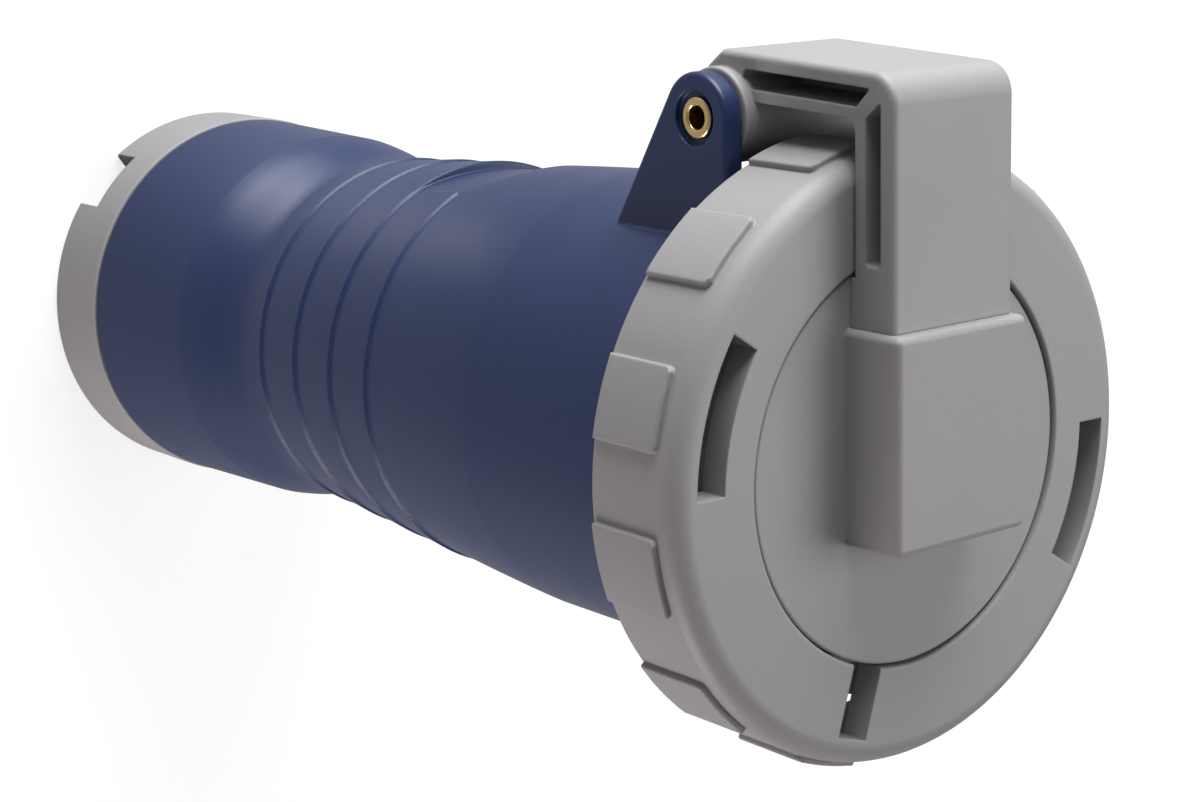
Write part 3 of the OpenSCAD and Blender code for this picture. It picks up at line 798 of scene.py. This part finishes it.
@dataclass
class Housing(SubAssembly):
    """Body in one moulding: ribbed handle, front barrel, collar and hinge ears."""

    rear: float = 42.6
    rear_z: float = 19.3
    rear_edge: Point = (0.6, 0.18)
    barrel: float = 41.7
    barrel_z: float = 55.0
    barrel_break: float = 0.8
    swoop_steps: int = 32
    swoop_power: float = 1.25
    waist: float = 37.75
    waist_z: float = 76.0
    rib_z: float = 85.0
    rib_pitch: float = 14.6
    rib_count: int = 4
    rib: float = 39.45
    rib_grow: float = 1.03
    rib_drop: float = 0.5
    rib_step: float = 0.4
    flare_steps: int = 24
    flare_power: float = 1.2
    front: float = 44.5
    front_z: float = 165.0
    row: float = 0.8
    seat_z: float = 166.3
    ledge: float = 35.6
    ledge_ends: Point = (14.0, 17.0)
    wall: float = 3.0
    room_z: float = 37.0
    lip: float = 28.0
    lip_z: float = 33.0
    bush: float = 34.0
    bush_z: float = 30.0
    neck: float = 37.0
    neck_z: float = 13.5
    step_z: float = 214.0
    step_slope: float = 2.0
    rim_z: float = 228.3
    collar: float = 43.4
    collar_edge: Triple = (0.6, 0.2, 0.15)
    bore: float = 40.5
    bore_edge: Point = (0.5, 0.12)
    key_width: float = 9.0
    key_depth: float = 1.6
    key_z: float = 171.3
    key_round: float = 0.5
    scallop_lag: float = 0.2
    scallop_depth: float = 1.75
    scallop_radius: float = 62.0
    scallop_length: float = 14.0
    scallop_arc: float = 50.0
    scallop_slopes: Point = (3.2, 13.0)
    scallop_wall: Point = (0.03, 0.05)
    scallop_side: float = 0.08
    scallop_skin: float = 0.5
    scallop_end: float = 1.0
    ear_outer: float = 22.0
    ear_thick: float = 4.4
    ear_tip: float = 8.3
    ear_steps: int = 24
    ear_foot_y: float = 38.02
    ear_reach: float = 23.3
    ear_edge: float = 0.9
    pin: Point = HINGE
    pin_radius: float = 3.0
    sink: float = 5.2
    sink_depth: float = 1.2

    def crest(self, number: int) -> Point:
        """Return radius and height of a rib's crest."""
        return self.rib + self.rib_grow * number, self.rib_z + self.rib_pitch * number

    def scallop_start(self) -> float:
        """Return the height of the scallop's rear wall."""
        return self.crest(self.rib_count - 2)[1] + self.scallop_lag

    def key_points(self) -> list[Point]:
        """Draw the handle's outer outline from the nut to the carrier's seat.

        Returns:
            Its corners, in order.
        """
        rear, low = self.rear, self.rear_z
        wide, narrow = self.rear_edge
        points = [(rear - wide, low), (rear - narrow, low + narrow), (rear, low + wide)]
        for step in range(self.swoop_steps + 1):
            t = step / self.swoop_steps
            wave = (1 - math.cos(math.pi * t)) / 2
            ease = wave**self.swoop_power + self.barrel_break * t * (1 - t) ** 2
            r = self.barrel + (self.waist - self.barrel) * ease
            points.append((r, self.barrel_z + (self.waist_z - self.barrel_z) * t))
        for number in range(self.rib_count):
            r, z = self.crest(number)
            points += [(r, z), (r - self.rib_drop, z + self.rib_step)]
        r0, z0 = points[-1]
        for step in range(1, self.flare_steps + 1):
            t = step / self.flare_steps
            swell = 1 - (1 - t) ** self.flare_power
            points.append((r0 + (self.front - r0) * swell, z0 + (self.front_z - z0) * t))
        points.append((self.front, self.seat_z))
        return points

    def outline(self) -> list[Point]:
        """Divide that outline into even rows, with two close ones at the scallop's rear wall.

        Returns:
            Its points, in order.
        """
        points = self.key_points()
        wall_z = self.scallop_start()
        gap, band = self.scallop_wall
        rows = [points[0]]
        for (r0, z0), (r1, z1) in zip(points, points[1:]):
            count = max(1, math.ceil((z1 - z0) / self.row))
            for step in range(1, count + 1):
                t = step / count
                z = z0 + (z1 - z0) * t
                if rows[-1][1] < wall_z - band and z > wall_z + band:
                    edge = r0 + (r1 - r0) * (wall_z - z0) / (z1 - z0)
                    rows += [(edge, wall_z - gap), (edge, wall_z + gap)]
                rows.append((r0 + (r1 - r0) * t, z))
        return rows

    def inside(self) -> list[Point]:
        """Draw the handle's inner outline from the carrier's seat to the nut.

        Returns:
            Its corners, in order.
        """
        straight, slope = self.ledge_ends
        return [
            (self.bore, self.seat_z),
            (self.ledge, self.seat_z),
            (self.ledge, self.seat_z - straight),
            (self.crest(self.rib_count - 1)[0] - self.wall, self.seat_z - slope),
            (self.rib - self.rib_drop - self.wall, self.rib_z),
            (self.waist - self.wall, self.waist_z),
            (self.barrel - self.wall, self.barrel_z),
            (self.rear - self.wall, self.room_z),
            (self.lip, self.lip_z),
            (self.lip, self.bush_z),
            (self.bush, self.bush_z),
            (self.bush, self.neck_z),
            (self.neck, self.neck_z),
            (self.neck, self.rear_z),
        ]

    def carve(self, shape: Shape) -> None:
        """Press the scallop into the top of the handle.

        Args:
            shape: The turned handle.
        """
        start = self.scallop_start()
        floor = self.crest(self.rib_count - 2)[0] - self.scallop_depth
        near, far = (math.tan(math.radians(slope)) for slope in self.scallop_slopes)
        half = self.scallop_arc / 2
        side = math.radians(half + self.scallop_side)
        skin = self.rib - self.rib_drop - self.scallop_skin
        for vert in shape.bm.verts:
            x, y, z = vert.co
            r = reach(vert)
            if z < start or z > self.seat_z - self.scallop_end or r < skin:
                continue
            away = math.degrees(abs(math.atan2(x, y))) - half
            if NEAR < away < WHOLE_TURN / TURN_STEPS + NEAR:
                vert.co.x = math.copysign(r * math.sin(side), x)
                vert.co.y = r * math.cos(side)
            if away > NEAR:
                continue
            past = z - start - self.scallop_length
            rise = max(near * (z - start), near * self.scallop_length + far * past)
            limit = floor + rise - (self.scallop_radius - math.sqrt(self.scallop_radius**2 - x * x))
            if y > limit:
                vert.co.y = limit

    def barrel_shape(self) -> Shape:
        """Turn the front barrel with its collar and cut the keyway.

        Returns:
            The barrel's shape.
        """
        deep, side, drop = self.collar_edge
        wide, narrow = self.bore_edge
        profile = [
            (self.bore, self.seat_z),
            (self.front, self.seat_z),
            (self.front, self.step_z - self.step_slope),
            (self.collar, self.step_z),
            (self.collar, self.rim_z - deep),
            (self.collar - side, self.rim_z - drop),
            (self.collar - deep, self.rim_z),
            (self.bore + wide, self.rim_z),
            (self.bore + narrow, self.rim_z - narrow),
            (self.bore, self.rim_z - wide),
        ]
        half = self.key_width / 2
        corners = oblong((-half, -self.bore - self.key_depth), (half, -self.bore + CUT_OVER))
        rounds = [self.key_round, self.key_round]
        groove = Shape().slab(corners, Plane.XY, self.key_z, self.rim_z + CUT_OVER, rounds)
        return Shape().turn(profile).cut([groove])

    def ear_shape(self, side: int) -> Shape:
        """Build one ear.

        Args:
            side: 1 for the ear on the right seen from the lid, -1 for the other.

        Returns:
            The ear's shape.
        """
        tip_y, tip_z = self.pin
        foot = (self.ear_foot_y, tip_z - self.ear_reach)
        first = touch_point(foot, self.pin, self.ear_tip, 1)
        start = math.degrees(math.atan2(first[1] - tip_z, first[0] - tip_y))
        tip = arc_points(self.pin, self.ear_tip, start, 90.0, self.ear_steps)
        outline = [foot, *tip, (self.ear_foot_y, tip_z + self.ear_tip)]
        low, high = sorted((side * self.ear_outer, side * (self.ear_outer - self.ear_thick)))
        free_y = self.ear_foot_y + NEAR
        ear = Shape().slab(outline, Plane.YZ, low, high)
        ear.round_edges(self.ear_edge, 4, CORNER, lambda edge: any(v.co.y > free_y for v in edge.verts))
        centre = Vector((side * self.ear_outer, tip_y, tip_z))
        hole = Shape().rod(self.pin_radius, centre, 4 * self.ear_thick)
        sink = Shape().rod(self.sink, centre, 2 * self.sink_depth, segments=96)
        return ear.cut([hole, sink])

    def at_seat(self, face: Face) -> bool:
        """Tell whether a face lies where handle and front barrel join."""
        inner = self.bore - NEAR
        return all(abs(v.co.z - self.seat_z) < LEVEL and reach(v) > inner for v in face.verts)

    def build(self) -> None:
        """Turn the body, press its scallop, add the ears and mount it."""
        shape = Shape().turn([*self.outline(), *self.inside()])
        self.carve(shape)
        shape.drop(self.at_seat)
        shape.join(self.barrel_shape().drop(self.at_seat)).weld(WELD_GAP)
        for side in (-1, 1):
            shape.join(self.ear_shape(side))
        piece = shape.finish("body_moulding", sharp=24.0)
        self.dresser.mount(piece, Body.HOUSING, Slot.BLUE, ["handle_shell", "front_housing", "hinge_ears"])


@dataclass
class HingePin(SubAssembly):
    """Hollow rivet that carries the lid."""

    radius: float = 3.0
    bore: float = 2.15
    head: float = 3.85
    half: float = 21.7
    roll: float = 0.9
    bead_steps: int = 10
    pin: Point = HINGE

    def build(self) -> None:
        """Turn the rivet with its rolled ends and mount it."""
        wide, high = (self.head - self.bore) / 2, self.roll / 2
        turns = [math.pi * step / self.bead_steps for step in range(self.bead_steps + 1)]
        bead = [(self.bore + wide - wide * math.cos(t), self.half - high + high * math.sin(t)) for t in turns]
        top = [*bead, (self.radius, self.half - self.roll)]
        low = [(r, -z) for r, z in reversed(top)]
        shape = Shape().turn([*top, *low], steps=96)
        tip_y, tip_z = self.pin
        for vert in shape.bm.verts:
            x, y, z = vert.co
            vert.co = Vector((z, tip_y + y, tip_z - x))
        bmesh.ops.recalc_face_normals(shape.bm, faces=shape.bm.faces)
        self.dresser.mount(shape.finish("hinge_rivet", sharp=50.0), Body.HOUSING, Slot.BRASS, ["hinge_pin"])


@dataclass
class LidRing(SubAssembly):
    """Bayonet ring with grip pads, windows and a notch."""

    radius: float = 56.3
    rear_edge: Point = (0.8, 0.23)
    wall: float = 4.0
    wall_edge: float = 0.5
    face: float = 5.7
    face_over: float = 1.0
    edge: float = 4.2
    edge_steps: int = 10
    seam: float = 38.2
    seam_edge: float = 0.5
    seam_steps: int = 5
    z0: float = 218.0
    z1: float = 240.0
    pad_count: int = 12
    pad_arc: float = 15.0
    pad_steps: int = 14
    pad_turn: float = 0.5
    pad_high: float = 1.2
    pad_root: float = 1.5
    pad_front: float = 5.0
    pad_rear: float = 1.0
    pad_corner: float = 1.3
    pad_edge: float = 0.45
    pad_run: float = 0.5
    lug: float = 45.09
    window: float = 51.3
    window_arc: float = 32.5
    window_steps: int = 26
    notch: float = 7.0
    turn: float = -17.4

    def profile(self) -> list[Point]:
        """Draw the ring's section.

        Returns:
            Its corners, in order.
        """
        skirt = self.radius - self.wall
        under = self.z1 - self.face
        wide, narrow = self.rear_edge
        front = (self.radius - self.edge, self.z1 - self.edge)
        lip = (self.seam + self.seam_edge, self.z1 - self.seam_edge)
        return [
            (self.radius - wide, self.z0),
            (self.radius - narrow, self.z0 + narrow),
            (self.radius, self.z0 + wide),
            *arc_points(front, self.edge, 0.0, 90.0, self.edge_steps),
            *arc_points(lip, self.seam_edge, 90.0, 180.0, self.seam_steps),
            (self.seam, under),
            (skirt - wide, under),
            (skirt - narrow, under - narrow),
            (skirt, under - wide),
            (skirt, self.z0 + self.wall_edge),
            (skirt + self.wall_edge, self.z0),
        ]

    def runs_inwards(self, edge: Edge) -> bool:
        """Tell whether an edge is a front corner of a pad."""
        run = abs(reach(edge.verts[0]) - reach(edge.verts[1]))
        return run > self.pad_run and edge.verts[0].co.z > self.z1 - self.pad_front - NEAR

    def stands_out(self, edge: Edge) -> bool:
        """Tell whether an edge of a pad lies outside the ring's skirt."""
        return all(reach(vert) > self.radius for vert in edge.verts)

    def pad_shape(self, direction: float) -> Shape:
        """Build one grip pad.

        Args:
            direction: Direction of its middle.

        Returns:
            The pad's shape.
        """
        low = (self.radius - self.pad_root, self.z0 + self.pad_rear)
        high = (self.radius + self.pad_high, self.z1 - self.pad_front)
        pad = Shape().turn(oblong(low, high), self.pad_steps, direction, self.pad_arc)
        pad.round_edges(self.pad_corner, 5, CORNER, self.runs_inwards)
        pad.round_edges(self.pad_edge, 3, BLUNT_CORNER, self.stands_out)
        return pad

    def build(self) -> None:
        """Turn the ring, cut its face, add the pads and mount it."""
        low, high = self.z1 - self.face - self.face_over, self.z1 + self.face_over
        section = oblong((self.lug, low), (self.window, high))
        tools = [Shape().turn(section, self.window_steps, turn, self.window_arc) for turn in OPPOSITE]
        half = self.notch / 2
        slot = oblong((-half, -self.window), (half, -self.seam + CUT_OVER))
        tools.append(Shape().slab(slot, Plane.XY, low, high))
        shape = Shape().turn(self.profile()).cut(tools)
        for number in range(self.pad_count):
            shape.join(self.pad_shape(self.pad_turn + number * WHOLE_TURN / self.pad_count))
        piece = shape.rotated(self.turn).finish("lid_ring_moulding")
        self.dresser.mount(piece, Body.RING, Slot.GREY, ["lid_ring", "ring_face"])


@dataclass
class LidDisc(SubAssembly):
    """Disc of the lid with its square block."""

    radius: float = 37.7
    core: float = 2.0
    lip: float = 0.5
    z0: float = 234.0
    z1: float = 239.3
    block_width: float = 32.6
    block_low: float = -13.3
    block_high: float = 25.6
    block_root: float = 1.0
    block_z: float = 252.3
    edge: float = 1.4

    def build(self) -> None:
        """Turn the disc, add the block and mount them."""
        lip = arc_points((self.radius - self.lip, self.z1 - self.lip), self.lip, 0.0, 90.0)
        shape = Shape().turn([(self.core, self.z0), (self.radius, self.z0), *lip, (self.core, self.z1)])
        half = self.block_width / 2
        corners = oblong((-half, self.block_low), (half, self.block_high))
        block = Shape().slab(corners, Plane.XY, self.z0 + self.block_root, self.block_z, [self.edge] * 4)
        top = self.block_z - NEAR
        block.round_edges(self.edge, 5, BLUNT_CORNER, lambda edge: all(v.co.z > top for v in edge.verts))
        piece = shape.join(block).finish("lid_disc_moulding")
        self.dresser.mount(piece, Body.LID, Slot.GREY, ["lid_disc"])


@dataclass
class LidArm(SubAssembly):
    """Pocketed arm from the block over the ring to the hinge."""

    width: float = 30.0
    web: float = 3.0
    outer: float = 2.9
    outer_band: float = 1.5
    inner: float = 2.1
    corner: float = 5.6
    heel: float = 1.2
    crook: float = 2.4
    front_z: float = 249.9
    disc_z: float = 239.3
    under_z: float = 240.6
    under_end: float = 1.0
    block_y: float = 25.6
    foot_y: float = 34.478
    back: Point = (72.1, 206.2)
    bend: Point = (70.3, 249.9)
    edge: float = 1.3
    pocket: float = 3.6
    pocket_skin: float = 0.3
    pocket_low: float = 36.8
    pocket_rear: float = 3.2
    pocket_slant: float = 1.0
    pocket_gap: float = 2.4
    pocket_bend: Point = (1.6, 2.0)
    pocket_over: float = 4.0
    pocket_rounds: Point = (0.8, 0.4)
    pin: Point = HINGE
    pin_gap: float = 3.3
    knuckle: float = 8.9
    knuckle_half: float = 17.3
    knuckle_edge: float = 0.5

    def outline(self) -> tuple[list[Point], list[float]]:
        """Draw the arm's side view.

        Returns:
            Its corners in order, and the round at each.
        """
        under = beside(self.back, self.bend, self.outer + self.pocket + self.inner)
        corners = {
            self.pin: 0.0,
            touch_point(self.back, self.pin, self.knuckle, -1): 0.0,
            self.back: self.heel,
            self.bend: self.corner,
            (self.block_y, self.front_z): 0.0,
            (self.block_y, self.disc_z): 0.0,
            (self.foot_y, self.disc_z): 0.0,
            (self.foot_y, self.under_z): 0.0,
            at_height(under, self.under_z): self.crook,
            at_height(under, self.pin[1] + self.under_end): 0.0,
        }
        return list(corners), list(corners.values())

    def pocket_tools(self) -> list[Shape]:
        """Build the shapes that cut the four pockets.

        Returns:
            The shapes, two for each side.
        """
        top = beside(self.back, self.bend, self.outer)
        low = beside(self.back, self.bend, self.outer + self.pocket)
        front = self.front_z - self.outer - self.pocket_skin
        behind = front - self.pocket
        rear = self.pin[1] + self.knuckle - self.pocket_rear
        bend_low, bend_top = self.pocket_bend
        long_one = [
            at_height(top, rear),
            at_height(top, front - self.pocket_gap),
            at_height(low, behind - self.pocket_gap),
            at_height(low, rear - self.pocket_slant),
        ]
        short_one = [
            (at_height(low, behind)[0] - bend_low, behind),
            (at_height(top, front)[0] - bend_top, front),
            (self.pocket_low, front),
            (self.pocket_low, behind),
        ]
        end, middle = self.pocket_rounds
        tools = []
        for side in (-1, 1):
            near, far = sorted((side * self.web / 2, side * (self.width / 2 + self.pocket_over)))
            tools.append(Shape().slab(long_one, Plane.YZ, near, far, [end, middle, middle, end], segments=3))
            tools.append(Shape().slab(short_one, Plane.YZ, near, far, [middle, middle, end, end], segments=3))
        return tools

    def on_outside(self, edge: Edge) -> bool:
        """Tell whether an edge runs along the arm's outer side.

        Args:
            edge: The edge.

        Returns:
            True where it does.
        """
        first, second = (vert.co for vert in edge.verts)
        if abs(first.x - second.x) > NEAR or abs(abs(first.x) - self.width / 2) > NEAR:
            return False
        middle = (first + second) / 2
        outer_y = at_height(beside(self.back, self.bend, self.outer_band), middle.z)[0]
        return middle.y > outer_y or middle.z > self.front_z - self.outer_band

    def build(self) -> None:
        """Build the arm with its knuckle and mount it."""
        points, rounds = self.outline()
        half = self.width / 2
        centre = Vector((0.0, *self.pin))
        length = 2 * self.knuckle_half
        arm = Shape().slab(points, Plane.YZ, -half, half, rounds, segments=8)
        arm.round_edges(self.edge, 5, CORNER, self.on_outside)
        arm.cut([*self.pocket_tools(), Shape().rod(self.pin_gap, centre, 2 * length)])
        knuckle = Shape().rod(self.knuckle, centre, length, segments=96)
        knuckle.round_edges(self.knuckle_edge, 3, CORNER)
        knuckle.cut([Shape().rod(self.pin_gap, centre, 2 * length)])
        piece = arm.join(knuckle).finish("lid_arm_moulding")
        self.dresser.mount(piece, Body.LID, Slot.GREY, ["lid_arm"])


@dataclass
class InnerWorks(SubAssembly):
    """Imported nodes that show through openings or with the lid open."""

    groups: tuple[tuple[Slot, tuple[str, ...]], ...] = (
        (Slot.BLUE, ("bayonet_ramps",)),
        (Slot.GREY, ("lid_backplate", "ring_lugs")),
        (Slot.BLACK, ("contact_carrier", "carrier_retainer")),
        (Slot.RUBBER, ("gland_bush", "lid_gasket")),
        (Slot.BRASS, ("sleeve_line", "sleeve_neutral", "sleeve_earth", "sleeve_pilot")),
        (Slot.STEEL, ("thrust_washer", "carrier_screws", "sleeve_springs", "terminal_screws", "lid_screws")),
    )

    def build(self) -> None:
        """Give each of these nodes its finish."""
        for slot, names in self.groups:
            for name in names:
                self.dresser.dress_node(name, slot)


# Stage


@dataclass(frozen=True)
class SoftBox:
    """Area lamp of the studio."""

    name: str
    place: Triple
    aim: Triple
    size: float
    power: float
    beam: float = 180.0
    tint: Triple = WHITE
    stretch: float = 1.0

    def hang(self) -> None:
        """Put the lamp in the scene."""
        data = bpy.data.lights.new(self.name, "AREA")
        data.shape = "ELLIPSE"
        data.size = self.size * self.stretch
        data.size_y = self.size
        data.energy = self.power
        data.spread = math.radians(self.beam)
        data.color = self.tint
        lamp = put(self.name, data)
        lamp.location = self.place
        lamp.rotation_euler = (Vector(self.aim) - Vector(self.place)).to_track_quat("-Z", "Y").to_euler()


@dataclass
class Studio:
    """Pale floor, soft light and the camera."""

    floor_size: float = 6.0
    floor_colour: Triple = (0.32, 0.32, 0.32)
    floor_lift: float = 0.77
    mirror_share: float = 0.15
    world_colour: Triple = (1.0, 0.91, 0.92)
    world_strength: float = 0.22
    sensor: float = 36.0
    lens: float = 79.37
    shift: Point = (-0.0279, -0.1253)
    clip: Point = (0.01, 20.0)
    eye_mm: Triple = (-332.14, 115.9, 561.22)
    right: Triple = (0.7663, -0.0148, 0.6423)
    upward: Triple = (0.1183, 0.9859, -0.1184)
    boxes: tuple[SoftBox, ...] = (
        SoftBox("overhead", (0.08, 0.95, 0.31), (0.0, 0.0, 0.13), 0.9, 18.2),
        SoftBox("front", (0.60, 0.02, 1.05), (0.0, 0.0, 0.15), 0.8, 5.1),
        SoftBox("under", (-0.30, -0.44, 0.04), (0.0, 0.0, 0.02), 0.4, 0.82, beam=80.0, tint=WARM),
        SoftBox("rear", (-0.03, 0.10, 0.022), (-0.02, 0.036, 0.066), 0.036, 0.0062, beam=60.0, stretch=4.0),
    )

    def lay_floor(self) -> None:
        """Make the floor, which is plain white to the camera but keeps shadows."""
        sheet = Shape()
        bmesh.ops.create_grid(sheet.bm, x_segments=1, y_segments=1, size=self.floor_size / 2)
        floor = sheet.stand("floor")
        bench = NodeBench("pale_floor")
        paint = bench.add("ShaderNodeBsdfDiffuse", {"Color": self.floor_colour})
        glow = bench.add("ShaderNodeEmission", {"Color": WHITE, "Strength": self.floor_glow(bench)})
        both = bench.add("ShaderNodeAddShader", {0: paint.outputs["BSDF"], 1: glow.outputs["Emission"]})
        bench.feed(bench.out.inputs["Surface"], both.outputs["Shader"])
        floor.data.materials.append(bench.material)

    def floor_glow(self, bench: NodeBench) -> Out:
        """Work out the floor's glow, which counts only for rays that show the background.

        Args:
            bench: Node bench of the floor's material.

        Returns:
            The output of its strength.
        """
        rays = bench.add("ShaderNodeLightPath").outputs
        mirrored = bench.combine("MAXIMUM", rays["Is Glossy Ray"], rays["Is Transmission Ray"])
        seen = bench.combine("MULTIPLY_ADD", mirrored, self.mirror_share, rays["Is Camera Ray"])
        return bench.combine("MULTIPLY", seen, self.floor_lift)

    def set_world(self) -> None:
        """Light the scene evenly from all round."""
        world = bpy.data.worlds.new("studio_world")
        world.use_nodes = True
        back = world.node_tree.nodes["Background"]
        back.inputs["Color"].default_value = (*self.world_colour, 1.0)
        back.inputs["Strength"].default_value = self.world_strength
        bpy.context.scene.world = world

    def set_camera(self) -> None:
        """Put the camera where the photograph was taken from."""
        data = bpy.data.cameras.new("camera")
        data.sensor_width = self.sensor
        data.lens = self.lens
        data.shift_x, data.shift_y = self.shift
        data.clip_start, data.clip_end = self.clip
        camera = put("camera", data)
        across = Vector(self.right).normalized()
        up = Vector(self.upward)
        up = (up - across * up.dot(across)).normalized()
        back = across.cross(up)
        turn = Matrix((across, up, back)).transposed().to_4x4()
        camera.matrix_world = Matrix.Translation(Vector(self.eye_mm) * MM) @ turn
        bpy.context.scene.camera = camera

    def build(self) -> None:
        """Set up floor, light and camera."""
        bpy.context.scene.view_settings.view_transform = "Standard"
        self.lay_floor()
        self.set_world()
        for box in self.boxes:
            box.hang()
        self.set_camera()


def main() -> None:
    """Build the scene."""
    logging.basicConfig(level=logging.INFO, format="%(name)s: %(message)s")
    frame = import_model()
    dresser = Dresser(frame["nodes"], {slot: finish.make() for slot, finish in FINISHES.items()})
    Studio().build()
    for part in (InnerWorks, GlandNut, Housing, HingePin, LidDisc, LidArm, LidRing):
        part(dresser).build()


if __name__ == "__main__":
    main()
